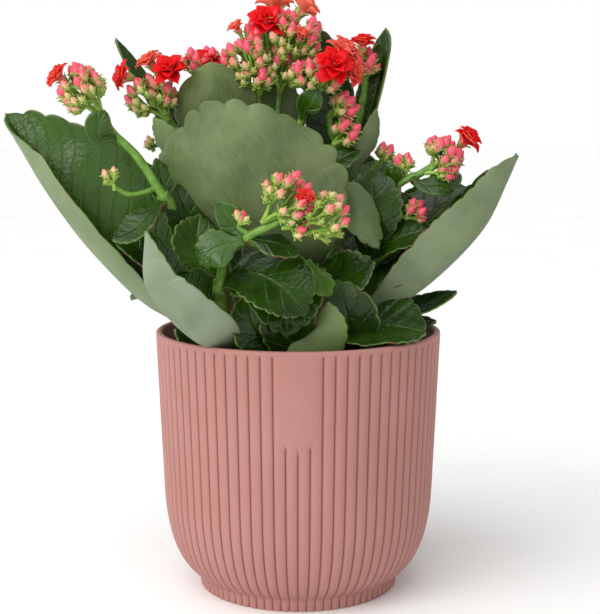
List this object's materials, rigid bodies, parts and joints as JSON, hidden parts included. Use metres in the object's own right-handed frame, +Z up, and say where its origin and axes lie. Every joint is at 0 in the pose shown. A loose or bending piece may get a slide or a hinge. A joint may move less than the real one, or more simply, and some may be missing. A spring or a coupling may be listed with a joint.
{
  "type": "potted kalanchoe",
  "caption": "Double-flowered kalanchoe with fleshy crenate leaves and red and pink flower clusters, planted in a round ribbed plastic cover pot.",
  "frame": {"origin": "middle of the underside of the pot's base", "axes": "+Z up, -Y towards the front of the pot, where its plain strip is, +X to the right"},
  "size_m": [0.2464, 0.1775, 0.289],
  "materials": {
    "pot_plastic": "matte",
    "potting_mix": "matte",
    "stem": "satin",
    "flower_stalk": "satin",
    "leaf_upper": "satin",
    "leaf_underside": "matte",
    "petals": "satin",
    "buds": "satin"
  },
  "bodies": {
    "root": {"flower_head_back": "petals", "flower_head_front": "buds", "flower_head_left": "petals", "flower_head_right": "petals", "flower_head_right_back": "buds", "flower_head_right_of_top": "buds", "flower_head_small_left": "buds", "flower_head_small_right": "buds", "flower_head_top": "petals", "flower_head_top_left": "buds", "flower_head_top_right": "petals", "flower_head_upper_back": "petals", "flower_head_upper_left": "petals", "flower_stalk_back": "flower_stalk", "flower_stalk_front": "flower_stalk", "flower_stalk_left": "flower_stalk", "flower_stalk_middle": "flower_stalk", "flower_stalk_right": "flower_stalk", "flower_stalk_right_back": "flower_stalk", "flower_stalk_right_of_middle": "flower_stalk", "flower_stalk_upper_back": "flower_stalk", "flower_stalk_upper_left": "flower_stalk", "flower_stalk_upper_right": "flower_stalk", "leaf_back_broad": "leaf_upper", "leaf_back_left_large": "leaf_upper", "leaf_back_left_low": "leaf_upper", "leaf_back_low": "leaf_upper", "leaf_back_right_large": "leaf_upper", "leaf_back_upper": "leaf_upper", "leaf_front_broad": "leaf_underside", "leaf_front_crenate": "leaf_upper", "leaf_front_left": "leaf_underside", "leaf_front_lower": "leaf_upper", "leaf_front_rim": "leaf_underside", "leaf_front_round": "leaf_upper", "leaf_left_inner": "leaf_upper", "leaf_left_large": "leaf_upper", "leaf_left_shaded": "leaf_upper", "leaf_left_veined": "leaf_upper", "leaf_right_behind": "leaf_upper", "leaf_right_crenate": "leaf_upper", "leaf_right_dark": "leaf_upper", "leaf_right_hanging": "leaf_upper", "leaf_right_large": "leaf_underside", "leaf_right_low_glossy": "leaf_upper", "leaf_right_pale": "leaf_underside", "leaf_right_pointing": "leaf_upper", "leaf_right_wrinkled": "leaf_upper", "leaf_top_back": "leaf_upper", "leaf_upper_behind": "leaf_underside", "leaf_upper_left_narrow": "leaf_upper", "leaf_upper_right_tall": "leaf_upper", "pot": "pot_plastic", "soil": "potting_mix", "stem_back": "stem", "stem_back_left": "stem", "stem_centre": "stem", "stem_front": "stem", "stem_left": "stem", "stem_right": "stem"}
  },
  "joints": []
}
